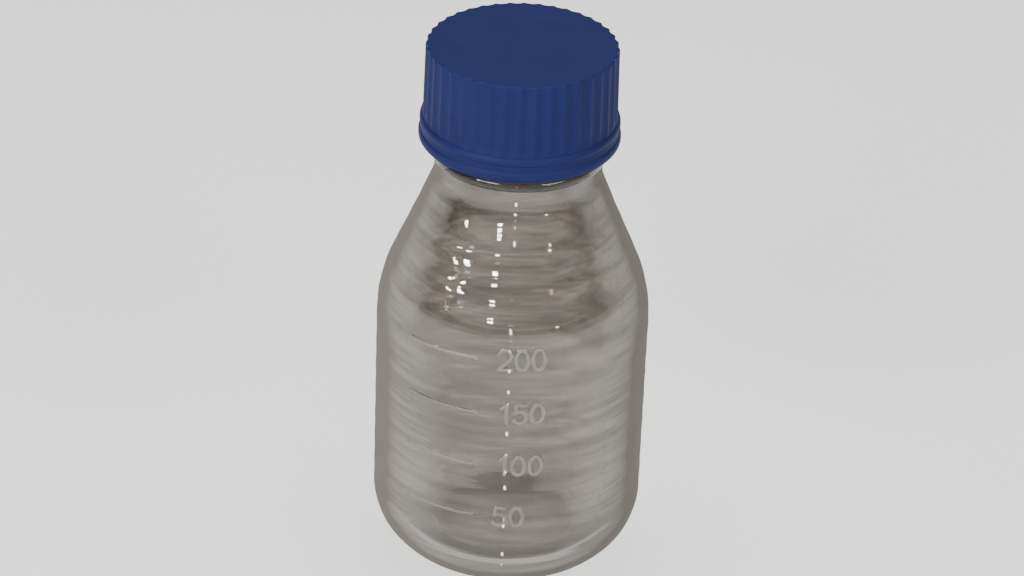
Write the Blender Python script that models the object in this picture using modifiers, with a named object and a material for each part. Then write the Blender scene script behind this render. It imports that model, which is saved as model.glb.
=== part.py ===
"""Laboratory reagent bottle, 250 ml, with a GL 45 screw cap.

A blown glass bottle stands on a narrow ring round its pushed-up base. Its neck carries a
rounded thread, a plain bead below the thread and a smooth rim. A plastic pouring ring snaps
over the rim, and a ribbed cap with a sealing disc inside screws down over both.

Metres, +Z up. The origin is the centre of the base, on the surface that the bottle stands on,
and every piece is turned about the Z axis. Radii and heights are in pairs: (radius, height).
"""
import math

import bmesh
import bpy

MM = 0.001

# Glass body
body_radius = 35.0 * MM
wall = 2.75 * MM
heel_radius = 16.5 * MM
floor_thickness = 4.8 * MM
push_up = 2.5 * MM
standing_ring_width = 1.6 * MM
shoulder_radius = 39.5 * MM
shoulder_slope = math.radians(23.2)

# Neck and rim
bottle_height = 138.0 * MM
neck_height = 28.6 * MM
bore_radius = 16.0 * MM
neck_fillet = 8.0 * MM
throat_fillet = 12.0 * MM
neck_swell = 0.2 * MM
bead_stand_out = 0.2 * MM
bead_height = 3.2 * MM
bead_below_cap = 1.1 * MM
rim_height = 3.4 * MM
rim_round = 1.2 * MM
snap_groove_depth = 0.6 * MM
snap_groove_height = 3.2 * MM

# GL 45 thread, shared by the neck and the cap
pitch = 4.0 * MM
thread_major_radius = 22.0 * MM
thread_depth = 1.2 * MM
thread_clearance = 0.42 * MM
ridge_width = 3.0 * MM
neck_turns = 2.5
cap_turns = 2.0
run_out_turns = 0.12
thread_below_groove = 2.0 * MM
thread_row = 0.6 * MM

# Pouring ring, snapped over the rim
fit_gap = 0.3 * MM
ring_wall = 0.75 * MM
ring_web = 0.8 * MM
ring_lip = 0.2 * MM
ring_skirt = 6.4 * MM
ring_catch_height = 1.4 * MM
ring_passing_gap = 0.37 * MM

# Sealing disc
liner_side_gap = 1.5 * MM
liner_thickness = 1.5 * MM

# Screw cap
cap_skirt = 4.4 * MM
cap_top_wall = 1.6 * MM
cap_side_wall = 1.1 * MM
cap_edge_round = 0.8 * MM
rib_count = 40
rib_depth = 0.7 * MM
rib_taper = 0.4 * MM
flange_step = 0.95 * MM
flange_height = 5.4 * MM
flange_slope_height = 2.4 * MM
flange_round = 1.4 * MM
flange_taper = 0.2 * MM
mouth_chamfer = 0.5 * MM

# Small edges and tolerances
edge_break = 0.5 * MM
rib_run_in = 2.4 * MM
crisp_angle = math.radians(35)
touch = 0.01 * MM

# Fineness: steps round the turned shapes, and steps along their arcs
glass_steps = 48
small_steps = 40
cap_steps = 2 * rib_count
wide_arc_steps = 6
small_arc_steps = 4
edge_steps = 3
bead_steps = 5

# Thread, ring and rim: the cap's thread has to pass over the ring, and the ring over the rim.
thread_core_radius = thread_major_radius - thread_depth
cap_root_radius = thread_major_radius + thread_clearance
cap_crest_radius = thread_core_radius + thread_clearance
ring_lip_radius = cap_crest_radius - ring_passing_gap
ring_outer_radius = ring_lip_radius - ring_lip
ring_inner_radius = ring_outer_radius - ring_wall
rim_radius = ring_inner_radius - fit_gap
snap_groove_radius = rim_radius - snap_groove_depth
neck_radius = thread_core_radius + neck_swell
bead_radius = thread_major_radius + bead_stand_out

# Heights down the neck, from the rim
rim_foot = bottle_height - rim_height
groove_foot = rim_foot - snap_groove_height
neck_thread_end = groove_foot - thread_below_groove
neck_thread_start = neck_thread_end - neck_turns * pitch
neck_foot = bottle_height - neck_height

# The cap's ridge runs half a pitch above the neck's, so it lies in the middle of the groove.
cap_thread_start = neck_thread_start + pitch / 2
cap_thread_end = cap_thread_start + cap_turns * pitch
cap_bottom = cap_thread_start - cap_skirt

# The ring, the sealing disc and the cap's top, stacked above the rim
web_bottom = bottle_height + fit_gap
web_top = web_bottom + ring_web
liner_bottom = web_top + fit_gap
liner_top = liner_bottom + liner_thickness
liner_radius = cap_root_radius - liner_side_gap
cap_ceiling = liner_top + fit_gap
cap_top = cap_ceiling + cap_top_wall
cap_height = cap_top - cap_bottom
rib_radius = cap_root_radius + cap_side_wall + rib_depth
rib_foot = flange_height + flange_slope_height
flange_radius = rib_radius + flange_step

# The shoulder's arc starts where its arc, cone and fillet together end at the foot of the neck.
arc_shift = shoulder_radius * (1 - math.cos(shoulder_slope))
fillet_shift = neck_fillet * (1 - math.cos(shoulder_slope))
cone_shift = body_radius - neck_radius - arc_shift - fillet_shift
shoulder_rise = (shoulder_radius + neck_fillet) * math.sin(shoulder_slope)
shoulder_rise += cone_shift / math.tan(shoulder_slope)
shoulder_start = neck_foot - shoulder_rise


def arc(centre, radius, start, end, steps):
    """Points along a circle's arc in the profile plane, from one angle in degrees to another."""
    points = []
    for step in range(steps + 1):
        angle = math.radians(start + (end - start) * step / steps)
        points.append((centre[0] + radius * math.cos(angle), centre[1] + radius * math.sin(angle)))
    return points


def dome(edge_radius, edge_height, rise, steps):
    """A shallow dome's points, from its middle on the axis out to its edge."""
    sphere = (edge_radius ** 2 + rise ** 2) / (2 * rise)
    points = []
    for step in range(steps + 1):
        radius = edge_radius * step / steps
        drop = sphere - math.sqrt(sphere ** 2 - radius ** 2)
        points.append((radius, edge_height + rise - drop))
    return points


def shoulder(radius, arc_radius, end_radius, fillet):
    """A wall's way up from the body into the neck: a wide arc, a straight cone, then a fillet."""
    slope = shoulder_slope
    rounding = arc((radius - arc_radius, shoulder_start), arc_radius, 0, math.degrees(slope), wide_arc_steps)
    cone_radius, cone_height = rounding[-1]
    fillet_foot = end_radius + fillet * (1 - math.cos(slope))
    fillet_height = cone_height + (cone_radius - fillet_foot) / math.tan(slope)
    centre = (end_radius + fillet, fillet_height + fillet * math.sin(slope))
    return rounding + arc(centre, fillet, 180 + math.degrees(slope), 180, small_arc_steps)


def heights(start, end, spacing):
    """Evenly spaced heights between two ends, about as far apart as the spacing."""
    count = max(1, round(abs(end - start) / spacing))
    return [start + (end - start) * step / count for step in range(count + 1)]


def ridge(angle, height, start, turns):
    """A helical thread's relief at a place on a neck: 0 in the root and 1 on the crest."""
    part_turn = (angle / (2 * math.pi)) % 1.0
    whole_turns = round((height - start) / pitch - part_turn)
    along = part_turn + whole_turns
    across = height - start - along * pitch
    if abs(across) >= ridge_width / 2:
        return 0.0
    to_end = min(along, turns - along)
    fade = min(1.0, max(0.0, 0.5 + to_end / run_out_turns))
    return fade * math.cos(math.pi * across / ridge_width) ** 2


def collection(name):
    """A new collection in the scene."""
    made = bpy.data.collections.new(name)
    bpy.context.scene.collection.children.link(made)
    return made


def material(name, colour, roughness, transmission=0.0, ior=1.5):
    """A Principled material with the piece's colour, roughness and clearness."""
    made = bpy.data.materials.new(name)
    made.use_nodes = True
    shader = made.node_tree.nodes["Principled BSDF"]
    shader.inputs["Base Color"].default_value = (*colour, 1.0)
    shader.inputs["Roughness"].default_value = roughness
    shader.inputs["Metallic"].default_value = 0.0
    shader.inputs["Transmission Weight"].default_value = transmission
    shader.inputs["IOR"].default_value = ior
    return made


def turned(name, outline, steps, into):
    """A solid of revolution: the outline turned about Z by a Screw modifier, as a plain mesh.

    The outline runs down its outer side, and where it doesn't meet the axis it is closed."""
    mesh = bpy.data.meshes.new(name)
    points = [(radius, 0.0, height) for radius, height in outline]
    edges = [(index, index + 1) for index in range(len(points) - 1)]
    if outline[0][0] > 0:
        edges.append((len(points) - 1, 0))
    mesh.from_pydata(points, edges, [])
    piece = bpy.data.objects.new(name, mesh)
    into.objects.link(piece)
    screw = piece.modifiers.new("Turn", "SCREW")
    screw.steps = steps
    screw.render_steps = steps
    screw.use_merge_vertices = True
    screw.merge_threshold = touch
    return plain(piece)


def plain(piece):
    """Makes an object's modifiers part of its mesh and closes the poles on its axis."""
    bpy.context.view_layer.update()
    evaluated = piece.evaluated_get(bpy.context.evaluated_depsgraph_get())
    mesh = bpy.data.meshes.new_from_object(evaluated)
    editing = bmesh.new()
    editing.from_mesh(mesh)
    bmesh.ops.remove_doubles(editing, verts=editing.verts, dist=touch / 10)
    editing.to_mesh(mesh)
    editing.free()
    piece.modifiers.clear()
    piece.data = mesh
    return piece


def move_out(piece, distance):
    """Moves each point of a turned piece away from the axis by a function of its place."""
    for vertex in piece.data.vertices:
        radius = math.hypot(vertex.co.x, vertex.co.y)
        if radius < touch:
            continue
        angle = math.atan2(vertex.co.y, vertex.co.x)
        grown = (radius + distance(radius, angle, vertex.co.z)) / radius
        vertex.co.x *= grown
        vertex.co.y *= grown


def finish(piece, made_of):
    """Gives a piece its material and smooth shading with crisp edges."""
    piece.data.materials.clear()
    piece.data.materials.append(made_of)
    piece.data.shade_smooth()
    piece.data.set_sharp_from_angle(angle=crisp_angle)


def inner_wall():
    """The inside of the bottle, from the middle of its floor up to the rim."""
    inside_radius = body_radius - wall
    heel = heel_radius - wall
    floor_edge = inside_radius - heel
    points = dome(floor_edge, floor_thickness, push_up, small_arc_steps)
    points += arc((floor_edge, floor_thickness + heel), heel, -90, 0, wide_arc_steps)[1:]
    points += shoulder(inside_radius, shoulder_radius - wall, bore_radius, throat_fillet)
    rim_centre = (bore_radius + rim_round, bottle_height - rim_round)
    return points + arc(rim_centre, rim_round, 180, 90, edge_steps)


def threaded_neck():
    """The outside of the neck, from the rim down to below the bead."""
    rim_centre = (rim_radius - rim_round, bottle_height - rim_round)
    points = arc(rim_centre, rim_round, 90, 0, edge_steps)
    points += [(rim_radius, rim_foot + edge_break), (snap_groove_radius, rim_foot)]
    points += [(snap_groove_radius, groove_foot)]
    rows = heights(groove_foot - edge_break, neck_thread_start - ridge_width, thread_row)
    points += [(thread_core_radius, height) for height in rows]
    bead_top = cap_bottom - bead_below_cap
    swell = bead_radius - neck_radius
    bead_curve = (swell ** 2 + (bead_height / 2) ** 2) / (2 * swell)
    centre = (bead_radius - bead_curve, bead_top - bead_height / 2)
    half_angle = math.degrees(math.asin(bead_height / 2 / bead_curve))
    return points + arc(centre, bead_curve, half_angle, -half_angle, bead_steps)


def outer_wall():
    """The outside of the bottle below its bead, down to the middle of the pushed-up base."""
    points = shoulder(body_radius, shoulder_radius, neck_radius, neck_fillet)[::-1]
    points += arc((body_radius - heel_radius, heel_radius), heel_radius, 0, -90, wide_arc_steps)
    ring_inside = body_radius - heel_radius - standing_ring_width
    return points + dome(ring_inside, 0.0, push_up, small_arc_steps)[::-1]


def glass_bottle(into):
    """The bottle: one wall turned about the axis, with its thread raised on the neck."""
    piece = turned("glass_bottle", inner_wall() + threaded_neck() + outer_wall(), glass_steps, into)

    def thread(radius, angle, height):
        if radius < thread_core_radius - touch:
            return 0.0
        return thread_depth * ridge(angle, height, neck_thread_start, neck_turns)

    move_out(piece, thread)
    return piece


def pouring_ring(into):
    """The drip-free ring: a web over the rim, a sharp lip and a skirt that catches below the rim."""
    skirt_foot = web_top - ring_skirt - ring_web
    catch_radius = snap_groove_radius + fit_gap
    catch_top = skirt_foot + ring_catch_height
    outline = [
        (bore_radius + fit_gap, web_top),
        (ring_lip_radius, web_top),
        (ring_lip_radius, web_top - ring_web / 2),
        (ring_outer_radius, web_bottom - ring_web),
        (ring_outer_radius, skirt_foot),
        (catch_radius, skirt_foot),
        (catch_radius, catch_top - edge_break),
        (ring_inner_radius, catch_top),
        (ring_inner_radius, web_bottom),
        (bore_radius + fit_gap, web_bottom),
    ]
    return turned("pouring_ring", outline, small_steps, into)


def seal_liner(into):
    """The sealing disc, in heights above the cap's lower edge."""
    low = liner_bottom - cap_bottom
    high = liner_top - cap_bottom
    outline = [(0.0, high), (liner_radius, high), (liner_radius, low), (0.0, low)]
    return turned("seal_liner", outline, small_steps, into)


def cap_outside():
    """The cap's outer profile, in heights above its lower edge."""
    top_radius = rib_radius - rib_taper
    points = [(0.0, cap_height), (top_radius - cap_edge_round - rib_depth, cap_height)]
    points += arc((top_radius - cap_edge_round, cap_height - cap_edge_round), cap_edge_round, 90, 0, edge_steps)
    points += [(rib_radius, rib_foot), (flange_radius - flange_taper, flange_height)]
    points += arc((flange_radius - flange_round, flange_round), flange_round, 0, -90, edge_steps)
    return points + [(0.0, 0.0)]


def cap_inside():
    """The cap's cavity, in heights above its lower edge, running out past its mouth."""
    ceiling = cap_ceiling - cap_bottom
    rows_top = cap_thread_end + ridge_width - cap_bottom
    rows_foot = cap_thread_start - ridge_width - cap_bottom
    points = [(0.0, ceiling), (cap_root_radius - edge_break, ceiling)]
    points += [(cap_root_radius, ceiling - edge_break)]
    rows = heights(rows_top, rows_foot, thread_row)
    points += [(cap_root_radius, height) for height in rows]
    points += [(cap_root_radius, mouth_chamfer), (cap_root_radius + 2 * mouth_chamfer, -mouth_chamfer)]
    return points + [(0.0, -mouth_chamfer)]


def screw_cap(into, tools):
    """The cap: a ribbed, flanged solid with a threaded cavity cut out of it."""
    piece = turned("screw_cap", cap_outside(), cap_steps, into)
    top_edge = rib_radius - rib_taper - cap_edge_round

    def ribs(radius, angle, height):
        if height < rib_foot - touch or radius < top_edge - touch:
            return 0.0
        rise = min(1.0, (height - rib_foot) / rib_run_in)
        return -rib_depth * rise * (0.5 - 0.5 * math.cos(rib_count * angle))

    split_rows(piece, rib_foot + rib_run_in)
    move_out(piece, ribs)

    cavity = turned("cap_cavity", cap_inside(), glass_steps, tools)

    def thread(radius, angle, height):
        return -thread_depth * ridge(angle, height, cap_thread_start - cap_bottom, cap_turns)

    move_out(cavity, thread)
    cavity.hide_render = True
    cavity.display_type = "WIRE"
    cavity.parent = piece
    cut = piece.modifiers.new("Cavity", "BOOLEAN")
    cut.operation = "DIFFERENCE"
    cut.solver = "EXACT"
    cut.object = cavity
    return piece


def split_rows(piece, height):
    """Cuts a ring of edges round a piece at a height."""
    editing = bmesh.new()
    editing.from_mesh(piece.data)
    everything = list(editing.verts) + list(editing.edges) + list(editing.faces)
    bmesh.ops.bisect_plane(editing, geom=everything, plane_co=(0, 0, height), plane_no=(0, 0, 1))
    editing.to_mesh(piece.data)
    editing.free()


def build():
    """Makes the whole bottle with its cap screwed down."""
    for leftover in list(bpy.data.objects):
        bpy.data.objects.remove(leftover, do_unlink=True)
    parts = collection("reagent_bottle")
    tools = collection("cutters")

    glass = material("clear_glass", (0.86, 0.87, 0.86), 0.02, transmission=1.0, ior=1.47)
    ring_plastic = material("ring_plastic", (0.03, 0.06, 0.24), 0.35)
    silicone = material("liner_silicone", (0.80, 0.79, 0.76), 0.5)
    cap_plastic = material("cap_plastic", (0.02, 0.04, 0.20), 0.38)

    finish(glass_bottle(parts), glass)
    finish(pouring_ring(parts), ring_plastic)

    # The cap and its disc hang on an empty on the screw's axis, at the cap's lower edge.
    cap_axis = bpy.data.objects.new("cap_axis", None)
    cap_axis.location = (0.0, 0.0, cap_bottom)
    parts.objects.link(cap_axis)
    liner = seal_liner(parts)
    finish(liner, silicone)
    cap = screw_cap(parts, tools)
    finish(cap, cap_plastic)
    for piece in (liner, cap):
        piece.parent = cap_axis


build()
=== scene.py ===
# %% [markdown]
# A laboratory reagent bottle, as a lesson in turned shapes and glass
#
# The bottle is one blown piece of borosilicate glass, with a screw thread on its neck, a plastic
# pouring ring over its rim, and a ribbed plastic cap with a soft sealing disc inside. Nearly
# every surface is turned about one axis, so nearly every piece starts as a profile that is spun,
# and what isn't round (the thread, the ribs, the raised numbers) is pushed out of it afterwards.
#
# The solid model fixes every size and place. This first cell loads it and keeps its box.

# %% Load the solid model
import math

import bmesh
import bpy
import numpy as np
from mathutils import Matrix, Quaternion, Vector


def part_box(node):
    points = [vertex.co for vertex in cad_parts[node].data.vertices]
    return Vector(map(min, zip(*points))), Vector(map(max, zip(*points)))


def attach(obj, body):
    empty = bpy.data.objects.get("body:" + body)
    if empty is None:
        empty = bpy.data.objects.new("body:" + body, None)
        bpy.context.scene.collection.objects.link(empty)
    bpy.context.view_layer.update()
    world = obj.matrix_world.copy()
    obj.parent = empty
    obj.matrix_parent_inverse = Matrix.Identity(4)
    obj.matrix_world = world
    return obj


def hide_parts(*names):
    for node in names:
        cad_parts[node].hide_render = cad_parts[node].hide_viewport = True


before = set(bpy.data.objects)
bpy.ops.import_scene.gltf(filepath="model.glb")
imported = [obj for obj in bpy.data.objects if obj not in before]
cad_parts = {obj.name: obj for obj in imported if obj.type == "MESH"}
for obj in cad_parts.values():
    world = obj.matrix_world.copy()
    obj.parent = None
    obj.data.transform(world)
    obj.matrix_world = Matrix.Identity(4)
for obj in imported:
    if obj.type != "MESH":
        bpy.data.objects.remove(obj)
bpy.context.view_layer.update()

MM = 0.001


# %% [markdown]
# Sizes come from the solids. A turned piece stands round the Z axis, so its box gives its
# largest radius and its lowest and highest points, and the rest follows from wall thicknesses
# and from the standard GL 45 thread.

# %% Read the main sizes
def radius_and_heights(node):
    """A turned solid's largest radius, its lowest point and its highest point."""
    low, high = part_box(node)
    return high[0], low[2], high[2]


body_radius, _, bottle_height = radius_and_heights("glass_bottle")
flange_radius, cap_bottom, cap_top = radius_and_heights("screw_cap")
ring_radius, ring_foot, ring_top = radius_and_heights("pouring_ring")
liner_radius, liner_bottom, liner_top = radius_and_heights("seal_liner")
print(f"body {2000 * body_radius:.1f} mm wide, {1000 * bottle_height:.1f} mm tall to the rim")
print(f"cap {2000 * flange_radius:.1f} mm wide, top at {1000 * cap_top:.1f} mm")


# %% [markdown]
# The bottle is looked down on from about 30 degrees, from a little under a metre away, with a
# long lens and the camera rolled by two degrees. Setting the camera first means that every later
# step can be looked at through it. A look-at rotation comes from to_track_quat, and the roll is a
# further turn about the camera's own axis.

# %% Camera
view_distance = 0.925
view_elevation = math.radians(30.16)
view_roll = math.radians(2.21)
view_target = Vector((-0.0004, 0.0, 0.0736))
sight = Vector((0.0, math.cos(view_elevation), -math.sin(view_elevation)))

camera_data = bpy.data.cameras.new("camera")
camera_data.sensor_width = 36.0
camera_data.lens = 128.0
camera_data.clip_start = 0.01
camera = bpy.data.objects.new("camera", camera_data)
camera.location = view_target - view_distance * sight
camera.rotation_mode = "QUATERNION"
camera.rotation_quaternion = sight.to_track_quat("-Z", "Y") @ Quaternion((0, 0, 1), view_roll)
bpy.context.scene.collection.objects.link(camera)
bpy.context.scene.camera = camera
print("camera at", [round(value, 3) for value in camera.location])


# %% [markdown]
# Glass shows what is behind it and mirrors what is in front of it, so its surroundings are half
# of its look. A broad pale floor fills the view.

# %% Floor
floor_half_width = 6.0
floor_material = bpy.data.materials.new("floor_paint")
floor_material.use_nodes = True
floor_shader = floor_material.node_tree.nodes["Principled BSDF"]
floor_shader.inputs["Base Color"].default_value = (0.86, 0.86, 0.855, 1.0)
floor_shader.inputs["Roughness"].default_value = 0.75

floor_mesh = bpy.data.meshes.new("floor")
floor_edit = bmesh.new()
bmesh.ops.create_grid(floor_edit, x_segments=1, y_segments=1, size=floor_half_width)
floor_edit.to_mesh(floor_mesh)
floor_edit.free()
floor = bpy.data.objects.new("floor", floor_mesh)
floor_mesh.materials.append(floor_material)
bpy.context.scene.collection.objects.link(floor)
print("floor", 2 * floor_half_width, "m wide")


# %% [markdown]
# The world is pale at the horizon, dark in a low band above it, then bright in a narrow band and
# an even grey higher up. The sloping shoulder mirrors these bands. In a world shader the
# Generated coordinate is the viewing direction, so its Z is the sine of the elevation, and a
# colour ramp over it paints them.

# %% World
world = bpy.data.worlds.new("room")
world.use_nodes = True
room_nodes = world.node_tree.nodes
room_links = world.node_tree.links
direction = room_nodes.new("ShaderNodeTexCoord")
parts = room_nodes.new("ShaderNodeSeparateXYZ")
sky = room_nodes.new("ShaderNodeValToRGB")
# the sine of an elevation, and how bright the world is there
sky_bands = [(0.06, 0.80), (0.08, 0.20), (0.165, 0.20), (0.18, 0.95), (0.21, 0.95), (0.24, 0.50)]
sky_warmth = (1.0, 0.98, 0.96)
while len(sky.color_ramp.elements) < len(sky_bands):
    sky.color_ramp.elements.new(0.5)
for stop, (height, brightness) in zip(sky.color_ramp.elements, sky_bands):
    stop.position = height
    stop.color = (*[share * brightness for share in sky_warmth], 1.0)
room_links.new(direction.outputs["Generated"], parts.inputs["Vector"])
room_links.new(parts.outputs["Z"], sky.inputs["Fac"])
room_links.new(sky.outputs["Color"], room_nodes["Background"].inputs["Color"])
room_nodes["Background"].inputs["Strength"].default_value = 1.0
bpy.context.scene.world = world
print("sky bands:", len(sky_bands))


# %% [markdown]
# Big softboxes give the even light. The two on either side of the camera aren't seen through the
# glass, where they would stand as pale squares. The long thin tubes are there to be mirrored:
# their images on the wavy shoulder break up into sparks. Each lamp is placed by its turn round
# the bottle, its elevation and its distance, which is easier to think in than X, Y and Z.

# %% Lamps
lamp_aim = Vector((0.0, 0.0, 0.07))
warm_white = (1.0, 0.86, 0.6)


def lamp(name, place, width, height, power, colour=(1.0, 1.0, 1.0), seen_through=True):
    """Adds a flat area lamp turned towards the bottle, seen through the glass or not."""
    data = bpy.data.lights.new(name, "AREA")
    data.shape = "RECTANGLE"
    data.size = width
    data.size_y = height
    data.energy = power
    data.color = colour
    light = bpy.data.objects.new(name, data)
    light.location = place
    aim = lamp_aim - Vector(place)
    light.rotation_euler = aim.to_track_quat("-Z", "Y").to_euler()
    light.visible_transmission = seen_through
    bpy.context.scene.collection.objects.link(light)


def around(turn, elevation, distance):
    """A place round the bottle, by its turn from the front, its elevation and its distance."""
    level = distance * math.cos(math.radians(elevation))
    turn = math.radians(turn)
    rise = distance * math.sin(math.radians(elevation))
    return level * math.sin(turn), -level * math.cos(turn), lamp_aim.z + rise


lamp("top_softbox", around(0, 88, 1.5), 1.2, 1.2, 14.0)
lamp("left_softbox", around(-38, 36, 1.6), 0.8, 0.6, 25.0, seen_through=False)
lamp("right_softbox", around(48, 36, 1.7), 0.8, 0.6, 16.0, seen_through=False)
lamp("rear_softbox", around(180, 60, 1.7), 0.9, 0.9, 5.0)
lamp("tube_left", around(-50, 14, 2.4), 0.26, 0.045, 8.0)
lamp("tube_middle", around(-19, 15, 2.4), 0.20, 0.045, 6.0)
lamp("tube_low", around(-62, 11, 2.4), 0.26, 0.04, 6.0, colour=warm_white)
lamp("warm_tube", around(38, 10, 2.2), 0.12, 0.03, 1.0, colour=warm_white)
lamp("front_spark", around(-1, 8, 2.0), 0.10, 0.10, 4.0)


# %% [markdown]
# A profile is a chain of (radius, height) points. Three helpers give its round stretches, its
# evenly spaced straight ones, and the shallow dome that a bottle's floor has.

# %% Helpers for profiles
def arc(centre, radius, start, end, steps):
    """Points along a circle's arc, from one angle in degrees to another."""
    turns = [math.radians(start + (end - start) * step / steps) for step in range(steps + 1)]
    return [(centre[0] + radius * math.cos(turn), centre[1] + radius * math.sin(turn)) for turn in turns]


def run(start, end, spacing):
    """Points along a straight stretch, about as far apart as the spacing."""
    length = math.hypot(end[0] - start[0], end[1] - start[1])
    count = max(1, round(length / spacing))
    return [
        (start[0] + (end[0] - start[0]) * step / count, start[1] + (end[1] - start[1]) * step / count)
        for step in range(count + 1)
    ]


def dome(edge_radius, edge_height, rise, steps):
    """A shallow dome's points, from its middle on the axis out to its edge."""
    sphere = (edge_radius ** 2 + rise ** 2) / (2 * rise)
    points = []
    for step in range(steps + 1):
        radius = edge_radius * step / steps
        points.append((radius, edge_height + rise - sphere + math.sqrt(sphere ** 2 - radius ** 2)))
    return points


print("a quarter turn of radius 1 in two steps:", arc((0.0, 0.0), 1.0, 0, 90, 2))


# %% [markdown]
# Spinning the chain with bmesh.ops.spin makes the surface. A Screw modifier would do it as well,
# but the points are wanted as a plain mesh, so that they can be moved: the second helper pushes
# each one out from the axis. Where the chain meets the axis the spin leaves a stack of points,
# which are merged, and the normals are recalculated last.

# %% Spinning and moving points
shortest_step = 0.002 * MM
merge_distance = 0.001 * MM
on_axis = 0.05 * MM


def spin_profile(points, steps, closed=False):
    """A bmesh of the profile turned once about the Z axis, merged and facing out."""
    editing = bmesh.new()
    chain = []
    for radius, height in points:
        if chain and math.hypot(radius - chain[-1].co.x, height - chain[-1].co.z) < shortest_step:
            continue
        chain.append(editing.verts.new((radius, 0.0, height)))
    edges = [editing.edges.new(pair) for pair in zip(chain, chain[1:])]
    if closed:
        edges.append(editing.edges.new((chain[-1], chain[0])))
    bmesh.ops.spin(
        editing, geom=chain + edges, cent=(0, 0, 0), axis=(0, 0, 1), dvec=(0, 0, 0),
        angle=2 * math.pi, steps=steps, use_merge=True, use_duplicate=False,
    )
    bmesh.ops.remove_doubles(editing, verts=editing.verts, dist=merge_distance)
    bmesh.ops.recalc_face_normals(editing, faces=editing.faces)
    return editing


def move_out(editing, distance):
    """Moves each point away from the axis by a function of all radii, angles and heights."""
    places = np.array([vertex.co[:] for vertex in editing.verts])
    radii = np.hypot(places[:, 0], places[:, 1])
    angles = np.arctan2(places[:, 1], places[:, 0])
    grown = 1.0 + distance(radii, angles, places[:, 2]) / np.maximum(radii, on_axis)
    for vertex, radius, factor in zip(editing.verts, radii, grown):
        if radius > on_axis:
            vertex.co.x *= factor
            vertex.co.y *= factor


print(f"points closer than {1000 * merge_distance} mm are merged")


# %% [markdown]
# Every piece is finished in the same way. Its bmesh becomes a mesh with smooth shading, apart
# from edges that turn by more than an angle.

# %% Finishing a piece
def make_piece(name, editing, material, body, node, crisp_degrees=40):
    """Turns a bmesh into a finished piece that rides on a body and stands for a CAD node."""
    mesh = bpy.data.meshes.new(name)
    editing.to_mesh(mesh)
    editing.free()
    mesh.materials.append(material)
    mesh.shade_smooth()
    mesh.set_sharp_from_angle(angle=math.radians(crisp_degrees))
    piece = bpy.data.objects.new(name, mesh)
    bpy.context.scene.collection.objects.link(piece)
    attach(piece, body)
    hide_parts(node)
    triangles = sum(len(face.vertices) - 2 for face in mesh.polygons)
    print(f"{name}: {triangles} triangles")
    return piece


print("pieces stand for these solids:", list(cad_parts))


# %% [markdown]
# The GL 45 thread is a rounded ridge that climbs 4 mm a turn. The same rule gives the ridge on
# the neck and the one in the cap, half a pitch apart, so the two pass without touching at any
# turn of the cap. Each ridge fades out at its ends, as a moulded thread does. Points are told
# apart by their radius later on, and touch is how near counts as being on it.

# %% Thread rule
touch = 0.01 * MM
pitch = 4.0 * MM
thread_depth = 1.2 * MM
thread_clearance = 0.42 * MM
ridge_width = 3.0 * MM
neck_turns = 2.5
cap_turns = 2.0
run_out_turns = 0.12
bead_stand_out = 0.2 * MM
cap_skirt = 4.4 * MM
rim_foot = bottle_height - 3.4 * MM
groove_foot = rim_foot - 3.2 * MM
neck_thread_start = groove_foot - 2.0 * MM - neck_turns * pitch
cap_thread_start = cap_bottom + cap_skirt


def ridge(angles, heights, start, turns):
    """A helical thread's relief at many places: 0 in the root and 1 on the crest."""
    part_turn = (angles / (2 * np.pi)) % 1.0
    whole_turns = np.round((heights - start) / pitch - part_turn)
    along = part_turn + whole_turns
    across = heights - start - along * pitch
    fade = np.clip(0.5 + np.minimum(along, turns - along) / run_out_turns, 0.0, 1.0)
    crest = np.cos(np.pi * across / ridge_width) ** 2
    return np.where(np.abs(across) < ridge_width / 2, fade * crest, 0.0)


print(f"neck thread from {1000 * neck_thread_start:.1f} mm")
print(f"cap thread from {1000 * cap_thread_start:.1f} mm")


# %% [markdown]
# The glass is clear but reads as a warm smoky grey. A Principled shader with the index of
# borosilicate glass does the work, and the next step gives it its transmission. Its base colour
# tints the light at each face, and a Volume Absorption node takes a little more out along the
# way. Blown glass also has cords: fine, nearly level streaks of a slightly different glass. A
# noise that is squeezed along Z draws them in both the tint and the bump.

# %% Glass with its level streaks
glass_index = 1.47


def level_streaks(nodes, links, wide, fine):
    """A noise of long level streaks, with its sizes given as noise scales round and up a piece."""
    place = nodes.new("ShaderNodeTexCoord")
    squeeze = nodes.new("ShaderNodeMapping")
    squeeze.inputs["Scale"].default_value = (wide, wide, fine)
    streaks = nodes.new("ShaderNodeTexNoise")
    streaks.inputs["Scale"].default_value = 1.0
    streaks.inputs["Detail"].default_value = 2.0
    links.new(place.outputs["Object"], squeeze.inputs["Vector"])
    links.new(squeeze.outputs["Vector"], streaks.inputs["Vector"])
    return streaks


glass = bpy.data.materials.new("borosilicate_glass")
glass.use_nodes = True
nodes = glass.node_tree.nodes
links = glass.node_tree.links
shader = nodes["Principled BSDF"]
shader.inputs["Roughness"].default_value = 0.0
shader.inputs["IOR"].default_value = glass_index
cords = level_streaks(nodes, links, 30.0, 520.0)
tint = nodes.new("ShaderNodeValToRGB")
tint.color_ramp.elements[0].position = 0.40
tint.color_ramp.elements[0].color = (0.285, 0.268, 0.252, 1.0)
tint.color_ramp.elements[1].position = 0.60
tint.color_ramp.elements[1].color = (0.450, 0.422, 0.398, 1.0)
bump = nodes.new("ShaderNodeBump")
bump.inputs["Strength"].default_value = 0.3
bump.inputs["Distance"].default_value = 0.0001
links.new(cords.outputs["Fac"], tint.inputs["Fac"])
links.new(cords.outputs["Fac"], bump.inputs["Height"])
links.new(bump.outputs["Normal"], shader.inputs["Normal"])
absorption = nodes.new("ShaderNodeVolumeAbsorption")
absorption.inputs["Color"].default_value = (0.50, 0.46, 0.43, 1.0)
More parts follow.
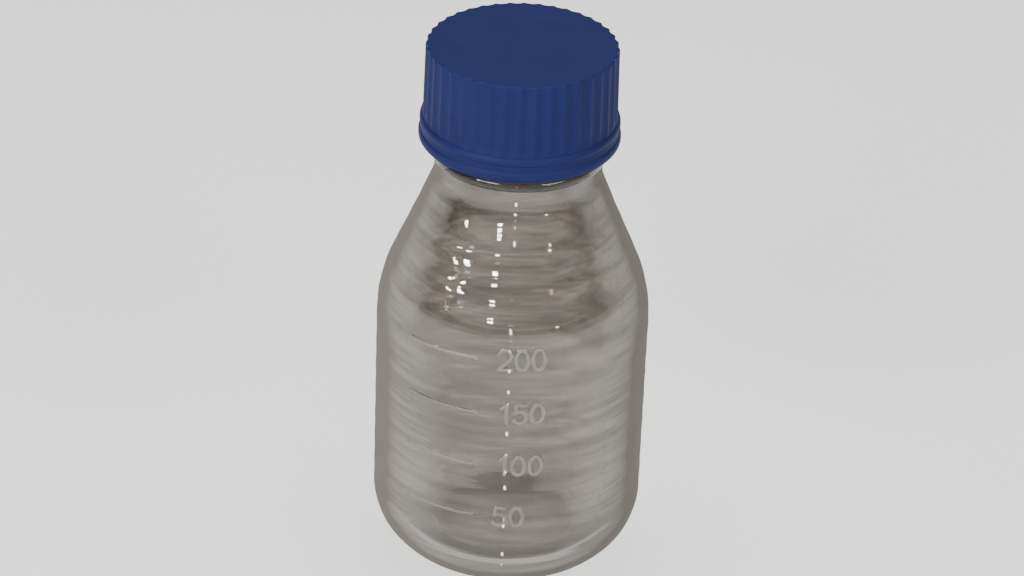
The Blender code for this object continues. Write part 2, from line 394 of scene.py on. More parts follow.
absorption.inputs["Density"].default_value = 12.0
links.new(absorption.outputs["Volume"], nodes["Material Output"].inputs["Volume"])
print("glass index", glass_index)


# %% [markdown]
# Seen at a slant, clean glass mirrors a pale room so strongly that the bottle's sides would turn
# white, so there the sides are painted grey instead. A Layer Weight node gives the slant. As it
# grows, one Map Range lowers the transmission from full to almost none, so that a dull grey haze,
# painted in place of the reflection, takes over from the mirror, and another one mixes in a darker
# tint, which is painted shade. The specular level is off, because it would put the same mirror
# back on top of the haze.

# %% Painted haze and shade at a slant
shader.inputs["Specular IOR Level"].default_value = 0.0
slant = nodes.new("ShaderNodeLayerWeight")
slant.inputs["Blend"].default_value = 0.5
slant_start = 0.25
slant_end = 0.64
clear_transmission = 1.0
painted_haze_transmission = 0.06


def slant_range(at_start, at_end):
    """A Map Range node that runs from one value to another as the face is seen at a slant."""
    ramp = nodes.new("ShaderNodeMapRange")
    ramp.inputs["From Min"].default_value = slant_start
    ramp.inputs["From Max"].default_value = slant_end
    ramp.inputs["To Min"].default_value = at_start
    ramp.inputs["To Max"].default_value = at_end
    links.new(slant.outputs["Facing"], ramp.inputs["Value"])
    return ramp.outputs["Result"]


# painted haze: at a slant the transmission falls, and a dull grey stands in for the reflection
links.new(slant_range(clear_transmission, painted_haze_transmission), shader.inputs["Transmission Weight"])
painted_slant_shade = nodes.new("ShaderNodeMix")
painted_slant_shade.data_type = "RGBA"
# painted shade: the darker colour that the sides turn to where they are seen at a slant
painted_slant_shade.inputs["B"].default_value = (0.115, 0.104, 0.094, 1.0)
links.new(slant_range(0.0, 1.0), painted_slant_shade.inputs["Factor"])
links.new(tint.outputs["Color"], painted_slant_shade.inputs["A"])
links.new(painted_slant_shade.outputs["Result"], shader.inputs["Base Color"])
print("haze from", slant_start, "to", slant_end)


# %% [markdown]
# The neck is pressed in a mould, and its glass is a copy of the bottle's with neither the painted
# haze nor the painted shade at a slant. The ramp behind the streaks goes straight into the base
# colour again.

# %% Clean glass for the neck
neck_glass = glass.copy()
neck_glass.name = "borosilicate_neck_glass"
neck_shader = neck_glass.node_tree.nodes["Principled BSDF"]
neck_tint = neck_glass.node_tree.nodes["Color Ramp"]
for link in list(neck_shader.inputs["Transmission Weight"].links):
    neck_glass.node_tree.links.remove(link)
neck_shader.inputs["Transmission Weight"].default_value = clear_transmission
neck_glass.node_tree.links.new(neck_tint.outputs["Color"], neck_shader.inputs["Base Color"])
print("materials:", glass.name, neck_glass.name)


# %% [markdown]
# The crests of the raised figures come out of the mould slightly frosted, and scatter light. They
# get a second material: the same glass, with a rough face that lets only part of the light by.
# The beads of the mould seam are so small and round that each one mirrors some lamp from any
# side. Rays that fine are hard to catch, so a bright satin material paints their glints on: a
# painted highlight.

# %% Frosted crests, and seam beads with painted glints
frosted = bpy.data.materials.new("frosted_crest")
frosted.use_nodes = True
frosted_shader = frosted.node_tree.nodes["Principled BSDF"]
frosted_shader.inputs["Base Color"].default_value = (0.43, 0.41, 0.392, 1.0)
frosted_shader.inputs["Roughness"].default_value = 0.3
frosted_shader.inputs["IOR"].default_value = glass_index
frosted_shader.inputs["Transmission Weight"].default_value = 0.88

painted_glint = bpy.data.materials.new("seam_bead_painted_glint")
painted_glint.use_nodes = True
painted_glint_shader = painted_glint.node_tree.nodes["Principled BSDF"]
# painted highlight: this near-white colour stands for the glints on the seam's beads
painted_glint_shader.inputs["Base Color"].default_value = (0.95, 0.95, 0.95, 1.0)
painted_glint_shader.inputs["Roughness"].default_value = 0.25
painted_glint_shader.inputs["IOR"].default_value = glass_index
print("materials:", frosted.name, painted_glint.name)


# %% [markdown]
# The bottle's wall follows arcs and straight stretches: a domed floor inside, a wide round heel,
# the cylinder, an arc into the sloping shoulder, a fillet into the neck, and the rim. The inner
# wall runs beside the outer one at the glass's thickness. Rows a millimetre apart are close
# enough for the glass's own unevenness, and the thread gets rows four times closer.

# %% Wall sizes
wall = 2.75 * MM
heel_radius = 16.5 * MM
floor_thickness = 4.8 * MM
push_up = 2.5 * MM
standing_ring_width = 1.6 * MM
shoulder_radius = 39.5 * MM
shoulder_slope = math.radians(23.2)
neck_foot = bottle_height - 28.6 * MM
thread_core = 20.8 * MM
neck_radius = thread_core + 0.2 * MM
bead_radius = thread_core + thread_depth + bead_stand_out
bead_height = 3.2 * MM
bead_top = cap_bottom - 1.1 * MM
rim_radius = 19.6 * MM
rim_round = 1.2 * MM
groove_radius = rim_radius - 0.6 * MM
bore_radius = 16.0 * MM
neck_fillet = 8.0 * MM
throat_fillet = 12.0 * MM
edge_break = 0.5 * MM
wall_row = 1.0 * MM
thread_row = 0.25 * MM
inside_radius = body_radius - wall
inside_heel = heel_radius - wall

slope_cosine = math.cos(shoulder_slope)
cone_shift = body_radius - neck_radius - (shoulder_radius + neck_fillet) * (1 - slope_cosine)
shoulder_rise = (shoulder_radius + neck_fillet) * math.sin(shoulder_slope)
shoulder_start = neck_foot - shoulder_rise - cone_shift / math.tan(shoulder_slope)
print(f"the shoulder starts at {1000 * shoulder_start:.1f} mm")


# %% [markdown]
# Each wall's profile is put together from those stretches. The inner and the outer wall climb the
# shoulder in the same way, at their own radii, so one function gives both. The neck's outside has
# the rim, the groove that the pouring ring snaps into, the thread's core, and a rounded bead
# below the cap. All points run one way round, so that a single spin makes the whole bottle.

# %% Profiles of the two walls
def shoulder(radius, arc_radius, end_radius, fillet):
    """A wall's way up from the body into the neck: a wide arc, a cone, then a fillet."""
    slope = math.degrees(shoulder_slope)
    rounding = arc((radius - arc_radius, shoulder_start), arc_radius, 0, slope, 16)
    foot = rounding[-1]
    fillet_foot = end_radius + fillet * (1 - slope_cosine)
    top = (fillet_foot, foot[1] + (foot[0] - fillet_foot) / math.tan(shoulder_slope))
    centre = (end_radius + fillet, top[1] + fillet * math.sin(shoulder_slope))
    return rounding + run(foot, top, wall_row) + arc(centre, fillet, 180 + slope, 180, 8)


def inner_wall():
    """The inside of the bottle, from the middle of its floor up to the rim."""
    floor_edge = inside_radius - inside_heel
    heel_top = floor_thickness + inside_heel
    points = dome(floor_edge, floor_thickness, push_up, 14)
    points += arc((floor_edge, heel_top), inside_heel, -90, 0, 20)
    points += run((inside_radius, heel_top), (inside_radius, shoulder_start), wall_row)
    points += shoulder(inside_radius, shoulder_radius - wall, bore_radius, throat_fillet)
    points += run(points[-1], (bore_radius, bottle_height - rim_round), 2 * wall_row)
    return points + arc((bore_radius + rim_round, bottle_height - rim_round), rim_round, 180, 90, 6)


def outer_neck():
    """The outside of the neck, from the rim down past the snap groove, the thread and the bead."""
    points = arc((rim_radius - rim_round, bottle_height - rim_round), rim_round, 90, 0, 6)
    points += [(rim_radius, rim_foot + edge_break), (groove_radius, rim_foot)]
    points += [(groove_radius, groove_foot + edge_break / 2), (groove_radius + edge_break / 2, groove_foot)]
    points += [(thread_core - edge_break, groove_foot)]
    thread_foot = neck_thread_start - ridge_width
    points += run((thread_core, groove_foot - edge_break), (thread_core, thread_foot), thread_row)
    swell = bead_radius - neck_radius
    curve = (swell ** 2 + (bead_height / 2) ** 2) / (2 * swell)
    spread = math.degrees(math.asin(bead_height / 2 / curve))
    return points + arc((bead_radius - curve, bead_top - bead_height / 2), curve, spread, -spread, 12)


def outer_wall():
    """The outside below the bead, down to the middle of the pushed-up base."""
    points = shoulder(body_radius, shoulder_radius, neck_radius, neck_fillet)[::-1]
    points += run((body_radius, shoulder_start), (body_radius, heel_radius), wall_row)
    points += arc((body_radius - heel_radius, heel_radius), heel_radius, 0, -90, 26)
    return points + dome(body_radius - heel_radius - standing_ring_width, 0.0, push_up, 14)[::-1]


glass_steps = 160
bottle = spin_profile(inner_wall() + outer_neck() + outer_wall(), glass_steps)
print(f"bare bottle: {len(bottle.verts)} points")


# %% [markdown]
# The raised numbers and lines need a much finer mesh than the rest of the wall. Instead of a
# finer spin everywhere, only the patches under them are cut up with subdivide_edges, which joins
# a fine patch to its coarse surroundings by itself. New points land on the straight chords of
# the old faces, so each one is moved out to the true round afterwards.

# %% Tools for finer patches
def front_angle(point):
    """A point's angle round the bottle, measured from the front and growing to the right."""
    return math.atan2(point.x, -point.y)


def cut_finer(editing, cuts, wanted, upright=True, level=True):
    """Subdivides the faces whose points are all wanted, across upright or level edges or both."""
    chosen = set()
    for face in editing.faces:
        if all(wanted(vertex.co) for vertex in face.verts):
            chosen.update(face.edges)
    edges = []
    for edge in chosen:
        rise = abs(edge.verts[0].co.z - edge.verts[1].co.z)
        if (upright and rise > 0.5 * edge.calc_length()) or (level and rise <= 0.5 * edge.calc_length()):
            edges.append(edge)
    bmesh.ops.subdivide_edges(editing, edges=edges, cuts=cuts, use_grid_fill=True)


def round_again(editing, steps):
    """Moves the points that lie on the chords between two spin steps out to the true circle."""
    half_step = math.pi / steps
    for vertex in editing.verts:
        off_middle = math.atan2(vertex.co.y, vertex.co.x) % (2 * half_step) - half_step
        grown = math.cos(off_middle) / math.cos(half_step)
        vertex.co.x *= grown
        vertex.co.y *= grown


print(f"a spin step is {360 / glass_steps:.2f} degrees")


# %% [markdown]
# The marks are 50 ml apart, and the bore's area turns that into a height. Each numeral is a pen
# path of arcs and straight strokes in a box one unit tall. Raising the glass by a function of
# the distance to the path gives the soft edges of a moulded figure, which extruded text wouldn't.

# %% Numerals as pen paths
mark_volume = 50e-6
mark_spacing = mark_volume / (math.pi * inside_radius ** 2)
mark_texts = ["50", "100", "150", "200"]
first_mark = 26.9 * MM
mark_heights = [first_mark + step * mark_spacing for step in range(len(mark_texts))]
numeral_height = 6.2 * MM
numeral_step = 4.32 * MM
stroke_half_width = 0.46 * MM
numeral_relief = 0.28 * MM
numbers_left = math.radians(-5.6)
numeral_width = 0.59


def pen_arc(centre, half_width, half_height, start, end, steps=14):
    """A stretch of an ellipse, as pen points."""
    turns = [math.radians(start + (end - start) * step / steps) for step in range(steps + 1)]
    return [(centre[0] + half_width * math.cos(t), centre[1] + half_height * math.sin(t)) for t in turns]


def numeral_path(character):
    """The pen path of a numeral, in a box one unit tall."""
    middle = numeral_width / 2
    if character == "0":
        return pen_arc((middle, 0.5), middle, 0.5, 0, 360, 28)
    if character == "1":
        return [(0.21, 0.76), (0.46, 1.0), (0.46, 0.0)]
    if character == "2":
        return pen_arc((middle, 0.71), middle, 0.29, 165, -35) + [(0.0, 0.0), (numeral_width, 0.0)]
    return [(0.54, 1.0), (0.1, 1.0), (0.05, 0.56)] + pen_arc((0.27, 0.32), 0.32, 0.32, 128, -150)


print("marks at", [round(1000 * height, 1) for height in mark_heights], "mm")


# %% [markdown]
# Two more tools turn a pen path into relief: the distance of many places to the path at once,
# which numpy makes quick, and the section of a stroke, round along its middle and soft at its
# foot.

# %% Distance and stroke
far_away = 1.0


def distance_to_path(along, up, path):
    """The distance of many places to a pen path, by its nearest straight piece."""
    places = np.column_stack([along, up])
    nearest = np.full(len(places), far_away)
    for start, end in zip(np.array(path[:-1]), np.array(path[1:])):
        piece = end - start
        share = np.clip((places - start) @ piece / (piece @ piece), 0.0, 1.0)
        gap = places - (start + share[:, None] * piece)
        nearest = np.minimum(nearest, np.hypot(gap[:, 0], gap[:, 1]))
    return nearest


def soft_ridge(distance, half_width):
    """A rounded stroke: 1 along its middle, falling smoothly to 0 at its half width."""
    share = np.clip(distance / half_width, 0.0, 1.0)
    return (1.0 - share ** 3) ** 1.5


print("a stroke's height from its middle out:", soft_ridge(np.linspace(0, 1, 5), 1.0).round(2))


# %% [markdown]
# A relief function takes the angles and heights of many points at once and says how far each one
# is raised. The numerals stand side by side to the right of the front, and beside each one a thin
# line runs round to the left, a little lower than the numeral's middle.

# %% Relief of the numerals and lines
line_left = math.radians(-45.6)
line_right = math.radians(-14.2)
line_drop = 0.2 * MM
line_half_width = 0.34 * MM
line_relief = 0.2 * MM


def numeral_relief_at(angles, heights):
    """How far the numerals raise the glass at each place."""
    raised = np.zeros(len(angles))
    pen_height = numeral_height - 2 * stroke_half_width
    for text, mark in zip(mark_texts, mark_heights):
        for place, character in enumerate(text):
            start = body_radius * numbers_left + place * numeral_step + stroke_half_width
            along = (body_radius * angles - start) / pen_height
            up = (heights - mark) / pen_height + 0.5
            away = distance_to_path(along, up, numeral_path(character)) * pen_height
            raised = np.maximum(raised, numeral_relief * soft_ridge(away, stroke_half_width))
    return raised


def line_relief_at(angles, heights):
    """How far the thin lines raise the glass at each place."""
    raised = np.zeros(len(angles))
    for mark in mark_heights:
        height = mark - line_drop
        path = [(body_radius * line_left, height), (body_radius * line_right, height)]
        away = distance_to_path(body_radius * angles, heights, path)
        raised = np.maximum(raised, line_relief * soft_ridge(away, line_half_width))
    return raised


print(f"numerals {1000 * numeral_height:.1f} mm tall, raised {1000 * numeral_relief:.2f} mm")


# %% [markdown]
# A mould for a blown bottle is made in two halves, and where they meet the glass keeps a seam.
# Here it is a string of small beads up the front, with a stretch of the shoulder left smooth.
# The beads' sizes and gaps swing with two sines of unlike steps, which looks irregular and yet
# comes out the same on every run.

# %% Relief of the mould seam
seam_angle = math.radians(-0.5)
seam_half_width = 0.4 * MM
seam_relief = 0.24 * MM
seam_low = 12.0 * MM
seam_high = 111.0 * MM
smooth_from = 83.0 * MM
smooth_to = 98.0 * MM
bead_half_length = 0.9 * MM
bead_size, size_swing, size_step = 0.62, 0.38, 2.4
bead_gap, gap_swing, gap_step = 3.6, 1.9, 1.7


def seam_relief_at(radii, angles, heights):
    """How far the seam's beads raise the glass at each place."""
    raised = np.zeros(len(angles))
    height = seam_low
    count = 0
    while height < seam_high:
        size = bead_size + size_swing * math.sin(size_step * count)
        aside = (radii * (angles - seam_angle)) / (seam_half_width * (0.5 + 0.5 * size))
        above = (heights - height) / (bead_half_length * size)
        if not smooth_from < height < smooth_to:
            raised = np.maximum(raised, seam_relief * size * soft_ridge(np.hypot(aside, above), 1.0))
        height += (bead_gap + gap_swing * math.sin(gap_step * count)) * MM
        count += 1
    return raised


print(f"seam from {1000 * seam_low:.0f} to {1000 * seam_high:.0f} mm")


# %% [markdown]
# Now the patches can be cut. A face is cut when all of its points pass a test of their angle and
# height. The outer profile, read as heights and radii, tells the outer face of the wall from the
# inner one, also on the shoulder, where the topmost mark lies. The strips of the lines are cut
# only across their height, because nothing changes along them.

# %% Cut the fine patches
patch_margin = 1.2 * MM
line_margin = 1.7 * MM
seam_margin = 2 * MM
# the patches' left and right edges, in degrees from the front
numerals_from, numerals_to = -9.0, 18.5
lines_from, lines_to = -49.0, -10.0
seam_reach = 3.5
outer_side = [point for point in outer_wall()[::-1] if point[1] > push_up]
outside_radii, outside_heights = np.array(outer_side).T


def near_a_mark(point, reach):
    """Whether a point's height is within reach of one of the marks."""
    return min(abs(point.z - height) for height in mark_heights) < reach


def on_outside(point):
    """Whether a point is on the outer face of the wall."""
    return math.hypot(point.x, point.y) > np.interp(point.z, outside_heights, outside_radii) - 0.1 * MM


def under_numerals(point):
    """Whether a point is in a patch that holds a numeral."""
    turn = math.degrees(front_angle(point))
    reach = numeral_height / 2 + patch_margin
    return on_outside(point) and numerals_from < turn < numerals_to and near_a_mark(point, reach)


def under_lines(point):
    """Whether a point is in a strip that holds a line."""
    turn = math.degrees(front_angle(point))
    return on_outside(point) and lines_from < turn < lines_to and near_a_mark(point, line_margin)


def under_seam(point):
    """Whether a point is on the outside of the glass, beside the seam and clear of the numerals."""
    turn = math.degrees(front_angle(point))
    beside = -seam_reach < turn < seam_reach
    level_with = seam_low - seam_margin < point.z < seam_high + seam_margin
    return beside and level_with and on_outside(point) and not under_numerals(point)


cut_finer(bottle, 6, under_numerals)
cut_finer(bottle, 4, under_lines, level=False)
cut_finer(bottle, 6, under_seam)
round_again(bottle, glass_steps)
print(f"bottle with fine patches: {len(bottle.verts)} points")


# %% [markdown]
# Blown glass touches the mould only on its outside, where it takes on level ripples. Inside it
# is free, and cools with soft waves that bend whatever is seen through it. Both are sums of a few
# sines with unlike lengths, a few hundredths of a millimetre high, and they die out towards the
# base and the neck. The outer wall is also drawn in by a third of a millimetre, so that the
# raised figures stay within the solid model's size.

# %% Unevenness and relief
relief_room = 0.36 * MM
# each wave's height and length in millimetres, its turns round the bottle and its phase
outside_waves = [(0.040, 7.1, 0, 0.4), (0.006, 3.7, -1, 1.9), (0.012, 23.0, 3, 2.6)]
inside_waves = [(0.024, 9.7, 0, 0.3), (0.008, 4.9, -1, 1.7), (0.030, 21.0, 1, 0.9), (0.014, 14.3, -3, 2.2)]
base_fade = 6 * MM
neck_fade = 12 * MM


def unevenness(angles, heights, waves):
    """A sum of sines up and round the wall."""
    total = np.zeros(len(angles))
    for amplitude, length, turns, phase in waves:
        total += amplitude * MM * np.sin(2 * np.pi * heights / (length * MM) + turns * angles + phase)
    return total


def body_share(heights):
    """1 on the bottle's body, fading to 0 at its base and at its neck."""
    fade_in = np.clip(heights / base_fade, 0.0, 1.0)
    fade_out = np.clip((neck_foot - heights) / neck_fade, 0.0, 1.0)
    return fade_in * fade_out


def glass_relief(radii, angles, heights):
    """The whole relief of the glass: thread, marks, seam and unevenness."""
    front = (angles + 1.5 * np.pi) % (2 * np.pi) - np.pi
    outside = radii > np.interp(heights, outside_heights, outside_radii) - wall / 4
    threaded = (radii > thread_core - touch) & (heights > bead_top) & (heights < groove_foot)
    thread = np.where(threaded, thread_depth * ridge(angles, heights, neck_thread_start, neck_turns), 0.0)
    marks = numeral_relief_at(front, heights) + line_relief_at(front, heights)
    raised = np.where(outside, np.maximum(marks, seam_relief_at(radii, front, heights)), 0.0)
    outer_waves = unevenness(angles, heights, outside_waves) - relief_room
    waves = np.where(outside, outer_waves, unevenness(angles, heights, inside_waves))
    return thread + raised + waves * body_share(heights)


print("waves outside and inside:", len(outside_waves), len(inside_waves))


# %% [markdown]
# The finished glass replaces the solid model's bottle and rides on the same body. Smooth shading
# with crisp edges only where the surface really turns keeps the thread round and the groove
# sharp. Four materials share the mesh, by each face's material index: the glass, the frosted
# crests, the seam's beads with their painted glints, and the neck. A ray tracer gives clear glass
# the shadow of a solid thing, so the bottle throws none, and the floor seen through it stays pale.

# %% Finish the bottle
def mark_crests(editing, relief, threshold, material_index):
    """Gives the outer faces whose middles a relief raises past a threshold another material."""
    faces = [face for face in editing.faces if on_outside(face.calc_center_median())]
    middles = np.array([face.calc_center_median()[:] for face in faces])
    radii = np.hypot(middles[:, 0], middles[:, 1])
    raised = relief(radii, np.arctan2(middles[:, 0], -middles[:, 1]), middles[:, 2])
    for face, height in zip(faces, raised):
        if height > threshold:
            face.material_index = material_index


def figures_at(radii, angles, heights):
    """How far the numerals and the lines raise the glass."""
    return np.maximum(numeral_relief_at(angles, heights), line_relief_at(angles, heights))


frosted_from = 0.35 * line_relief
painted_glint_from = 0.45 * seam_relief
bottle_glasses = [glass, frosted, painted_glint, neck_glass]
mark_crests(bottle, figures_at, frosted_from, bottle_glasses.index(frosted))
mark_crests(bottle, seam_relief_at, painted_glint_from, bottle_glasses.index(painted_glint))
for face in bottle.faces:
    if face.calc_center_median().z > bead_top - bead_height:
        face.material_index = bottle_glasses.index(neck_glass)
move_out(bottle, glass_relief)
bmesh.ops.recalc_face_normals(bottle, faces=bottle.faces)
blown = make_piece(
    "glass_bottle_blown", bottle, glass, "bottle", "glass_bottle", crisp_degrees=50,
)
for material in bottle_glasses[1:]:
    blown.data.materials.append(material)
blown.visible_shadow = False


# %% [markdown]
# The cap is moulded from polypropylene: a plastic with a soft satin shine and a very fine grain
# from the steel of its mould. Its colour is nearly even: a slow noise shifts it a little, and a
# fine one gives the grain. The same function serves the ring and the sealing disc.

# %% Cap plastic
def satin_plastic(name, dark, light, roughness, grain_scale, grain_depth):
    """A moulded plastic: two near colours mixed by slow noise, and a fine grain as bump."""
    made = bpy.data.materials.new(name)
    made.use_nodes = True
    nodes = made.node_tree.nodes
    links = made.node_tree.links
    shader = nodes["Principled BSDF"]
    shader.inputs["Roughness"].default_value = roughness
    shader.inputs["IOR"].default_value = 1.49
    shader.inputs["Specular IOR Level"].default_value = 0.15
    place = nodes.new("ShaderNodeTexCoord")
    cloud = nodes.new("ShaderNodeTexNoise")
    cloud.inputs["Scale"].default_value = 70.0
    cloud.inputs["Detail"].default_value = 3.0
    tone = nodes.new("ShaderNodeValToRGB")
    tone.color_ramp.elements[0].position = 0.3
    tone.color_ramp.elements[0].color = (*dark, 1.0)
    tone.color_ramp.elements[1].position = 0.7
    tone.color_ramp.elements[1].color = (*light, 1.0)
    grain = nodes.new("ShaderNodeTexNoise")
    grain.inputs["Scale"].default_value = grain_scale
    grain.inputs["Detail"].default_value = 4.0
    bump = nodes.new("ShaderNodeBump")
    bump.inputs["Strength"].default_value = 0.35
    bump.inputs["Distance"].default_value = grain_depth
    links.new(place.outputs["Object"], cloud.inputs["Vector"])
    links.new(place.outputs["Object"], grain.inputs["Vector"])
    links.new(cloud.outputs["Fac"], tone.inputs["Fac"])
    links.new(tone.outputs["Color"], shader.inputs["Base Color"])
    links.new(grain.outputs["Fac"], bump.inputs["Height"])
    links.new(bump.outputs["Normal"], shader.inputs["Normal"])
    return made


mould_grain = 2600.0
cap_plastic = satin_plastic(
    "cap_polypropylene", (0.0032, 0.0066, 0.050), (0.0040, 0.0082, 0.060), 0.6, mould_grain, 0.00006,
)
print("material:", cap_plastic.name)


# %% [markdown]
# The cap's outside is a turned profile: a flat top with a rounded edge, a wall that tapers a
# little, and a skirt with a soft upper bump, a shallow groove and a wide lower band. The rows on
# the wall come closer where the ribs will run out.

# %% Outside of the cap
cap_root = thread_core + thread_depth + thread_clearance
cap_ceiling = liner_top + 0.3 * MM
rib_crest = flange_radius - 0.95 * MM
rib_taper = 0.4 * MM
rib_depth = 0.5 * MM
rib_foot = cap_bottom + 6.7 * MM
rim_edge = 0.55 * MM
close_rows_from = rib_foot + 2.4 * MM
fine_top_radius = 4.25 * MM
upper_bump_round = 1.5 * MM
upper_bump_height = 5.5 * MM
band_upper_round = 1.6 * MM
band_upper_height = 1.9 * MM
band_lower_round = 1.4 * MM


def cap_outside():
    """The cap's outer profile, from the middle of its top to its lower edge."""
    top_radius = rib_crest - rib_taper
    flat_edge = top_radius - rib_depth - 2 * rim_edge
    points = [(0.0, cap_top), (0.5 * MM, cap_top)]
    points += run((0.75 * MM, cap_top), (fine_top_radius, cap_top), 0.25 * MM)
    points += run((5.0 * MM, cap_top), (flat_edge, cap_top), 3.0 * MM)
    points += arc((top_radius - rim_edge, cap_top - rim_edge), rim_edge, 90, 0, 6)
    points += run(points[-1], (rib_crest - 0.1 * MM, close_rows_from), 1.2 * MM)[1:]
    points += run(points[-1], (rib_crest, rib_foot), 0.3 * MM)[1:]
    upper_bump = (rib_crest - 0.8 * MM, cap_bottom + upper_bump_height)
    points += arc(upper_bump, upper_bump_round, 52, -42, 9)
    band_upper = (flange_radius - band_upper_round, cap_bottom + band_upper_height)
    points += arc(band_upper, band_upper_round, 48, 0, 6)
    band_lower = (flange_radius - band_lower_round, cap_bottom + band_lower_round)
    return points + arc(band_lower, band_lower_round, 0, -90, 9)


print(f"ribs from {1000 * rib_foot:.1f} mm up, {1000 * rib_depth:.1f} mm deep")


# %% [markdown]
# The inside is turned too, with a flat ceiling and close rows for the thread. It carries on from
# the lower edge, so one chain from the middle of the top to the middle of the ceiling gives the
# whole cap. It is spun with twelve steps to each rib, so that every rib comes out alike.

# %% Inside of the cap
mouth_chamfer = 0.5 * MM


def cap_inside():
    """The cap's inner profile, from its mouth up to the middle of its ceiling."""
    points = [(cap_root + mouth_chamfer, cap_bottom), (cap_root, cap_bottom + mouth_chamfer)]
    rows_foot = cap_bottom + cap_skirt - ridge_width
    rows_top = cap_thread_start + cap_turns * pitch + ridge_width
    points += run((cap_root, rows_foot), (cap_root, rows_top), thread_row)
    points += [(cap_root, cap_ceiling - edge_break), (cap_root - edge_break, cap_ceiling)]
    return points + run((cap_root - 2 * edge_break, cap_ceiling), (0.0, cap_ceiling), 3.0 * MM)


rib_count = 40
cap_steps = 12 * rib_count
cap = spin_profile(cap_outside() + cap_inside(), cap_steps)
print(f"bare cap: {len(cap.verts)} points")


# %% [markdown]
# Forty narrow ribs with hollow flutes between them give fingers their grip. Across one flute the
# wall follows a parabola, and its two ends meet in a rib with a slightly rounded tip. The flutes
# run out over the last two millimetres above the skirt, and cut right through the top's edge.
# The inner thread follows the same rule as the neck's, but it is pushed towards the axis.

# %% Ribs and inner thread
tip_start = 0.82
flute_run_out = 2.2 * MM


def flute(angles):
    """How far out the wall is across the flutes: 0 in the middle of one and 1 on a rib's tip."""
    share = np.abs((angles * rib_count / np.pi) % 2.0 - 1.0)
    tip = tip_start - tip_start / (1 - tip_start) * (1 - share) ** 2
    return np.where(share < tip_start, share ** 2, tip) / tip_start


def cap_relief(radii, angles, heights):
    """The cap's relief: flutes outside, and the thread's ridge inside."""
    ribbed = (radii > rib_crest - rib_taper - rim_edge - touch) & (heights > rib_foot - touch)
    run_in = np.clip((heights - rib_foot) / flute_run_out, 0.0, 1.0) ** 0.7
    flutes = np.where(ribbed, rib_depth * run_in * (flute(angles) - 1.0), 0.0)
    threaded = np.abs(radii - cap_root) < touch
    thread = np.where(threaded, thread_depth * ridge(angles, heights, cap_thread_start, cap_turns), 0.0)
    return flutes - thread


move_out(cap, cap_relief)
print(f"{rib_count} ribs, {cap_turns} turns of thread")


# %% [markdown]
# Where the plastic entered the mould it leaves a small raised nub near the middle of the top,
# with a tiny sunken mark from the ejector beside it. The profile has close rows there, so the
# points can be moved up and down by soft rounds. The whole top then sinks by the nub's height,
# which keeps the cap within the solid model's height.

# %% Gate mark
gate = Vector((0.0012, -0.0018))
gate_radius = 0.75 * MM
gate_rise = 0.16 * MM
ejector = Vector((-0.0016, 0.0006))
ejector_radius = 0.9 * MM
ejector_sink = 0.1 * MM


def top_middle(point):
    """Whether a point is near the middle of the cap's top."""
    return point.z > cap_top - touch and math.hypot(point.x, point.y) < fine_top_radius - 0.05 * MM


for vertex in cap.verts:
    if top_middle(vertex.co):
        from_gate = (vertex.co.xy - gate).length / gate_radius
        from_ejector = (vertex.co.xy - ejector).length / ejector_radius
        vertex.co.z -= ejector_sink * max(0.0, 1 - from_ejector ** 2)
        vertex.co.z += gate_rise * max(0.0, 1 - from_gate ** 2) ** 0.5
    if vertex.co.z > cap_top - 2 * rim_edge:
        vertex.co.z -= gate_rise
bmesh.ops.recalc_face_normals(cap, faces=cap.faces)
make_piece("screw_cap_ribbed", cap, cap_plastic, "cap", "screw_cap", crisp_degrees=32)


# %% [markdown]
# The pouring ring is a thin moulding of the same plastic. Its web lies on the rim, its lip is
# sharp so that the last drop breaks off, and its skirt has a bead inside that snaps into the
# groove under the rim. A closed outline is spun, and bmesh.ops.bevel then rounds its corners.

# %% Pouring ring
ring_plastic = satin_plastic(
    "ring_polypropylene", (0.0036, 0.0080, 0.058), (0.0044, 0.0096, 0.069), 0.5, mould_grain, 0.00005,
)


def round_corners(editing, width, segments, from_degrees=30):
    """Bevels the edges where a turned piece's surface turns by more than an angle."""
    edges = [edge for edge in editing.edges if len(edge.link_faces) == 2]
    sharp = [edge for edge in edges if edge.calc_face_angle() > math.radians(from_degrees)]
    bmesh.ops.bevel(
        editing, geom=sharp, offset=width, segments=segments, profile=0.5, affect="EDGES",
        material=-1, clamp_overlap=True,
    )


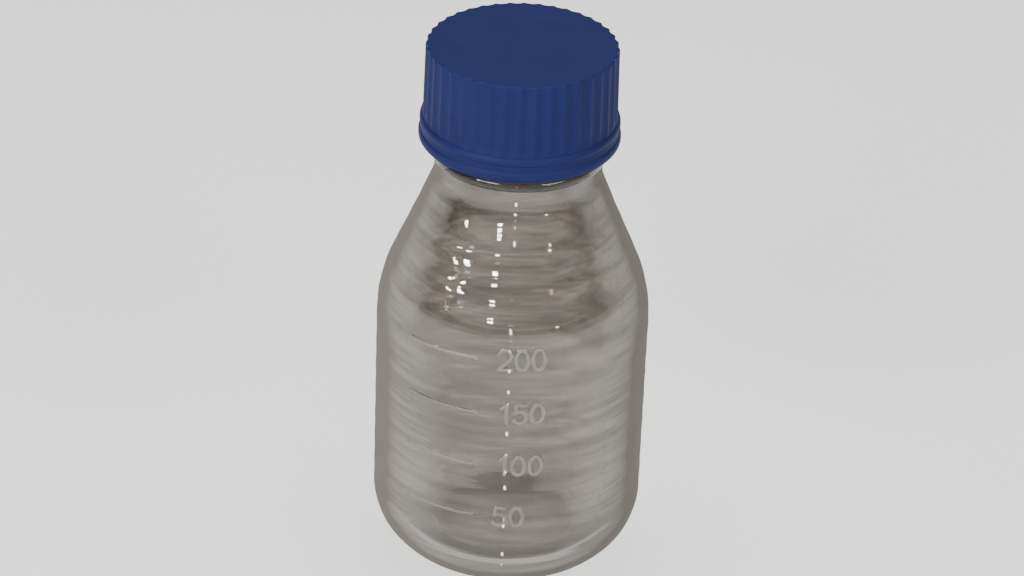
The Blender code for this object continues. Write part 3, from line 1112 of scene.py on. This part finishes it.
ring_wall = 0.75 * MM
ring_web = 0.8 * MM
ring_outer = ring_radius - 0.2 * MM
ring_inner = ring_outer - ring_wall
web_bottom = ring_top - ring_web
catch_radius = groove_radius + 0.3 * MM
catch_top = ring_foot + 1.4 * MM
mouth_radius = bore_radius + 0.3 * MM
ring_outline = [
    (mouth_radius, ring_top - 0.1 * MM),
    (mouth_radius + 1.6 * MM, ring_top - 0.25 * MM),
    (ring_radius - 1.4 * MM, ring_top - 0.25 * MM),
    (ring_radius - 0.1 * MM, ring_top),
    (ring_radius, ring_top - 0.15 * MM),
    (ring_radius - 0.05 * MM, ring_top - 0.45 * MM),
    (ring_outer, web_bottom - ring_web),
    (ring_outer, ring_foot),
    (catch_radius + 0.15 * MM, ring_foot),
    (catch_radius, ring_foot + 0.3 * MM),
    (catch_radius, catch_top - edge_break),
    (ring_inner, catch_top),
    (ring_inner, web_bottom),
    (mouth_radius, web_bottom),
]
ring = spin_profile(ring_outline, 192, closed=True)
round_corners(ring, 0.07 * MM, 2)
bmesh.ops.recalc_face_normals(ring, faces=ring.faces)
make_piece(
    "pouring_ring_moulded", ring, ring_plastic, "bottle", "pouring_ring", crisp_degrees=35,
)


# %% [markdown]
# The sealing disc is silicone rubber with a thin white fluoroplastic face. It lies loose in the
# cap's top, and a shallow circle pressed into its face shows where it has sat above the rim.

# %% Sealing disc
rubber_grain = 900.0
liner_rubber = satin_plastic(
    "liner_silicone", (0.62, 0.61, 0.585), (0.70, 0.69, 0.665), 0.55, rubber_grain, 0.00008,
)
face_step = 0.12 * MM
face_height = liner_bottom + face_step
pressed_outer = 19.4 * MM
pressed_inner = 17.0 * MM
pressed_slope = 0.4 * MM
pressed_height = liner_bottom + 0.15 * MM
disc_outline = [(0.0, liner_top), (liner_radius, liner_top), (liner_radius, face_height + face_step)]
disc_outline += [(liner_radius - face_step, face_height), (liner_radius - face_step, liner_bottom)]
disc_outline += run(
    (pressed_outer, liner_bottom), (pressed_outer - pressed_slope, pressed_height), 0.2 * MM,
)
disc_outline += run(
    (pressed_inner + pressed_slope, pressed_height), (pressed_inner, liner_bottom), 0.2 * MM,
)
disc_outline += run((12.0 * MM, liner_bottom), (0.0, liner_bottom), 4.0 * MM)
disc = spin_profile(disc_outline, 160)
round_corners(disc, 0.05 * MM, 2, 50)
bmesh.ops.recalc_face_normals(disc, faces=disc.faces)
make_piece("seal_liner_disc", disc, liner_rubber, "liner", "seal_liner", crisp_degrees=35)
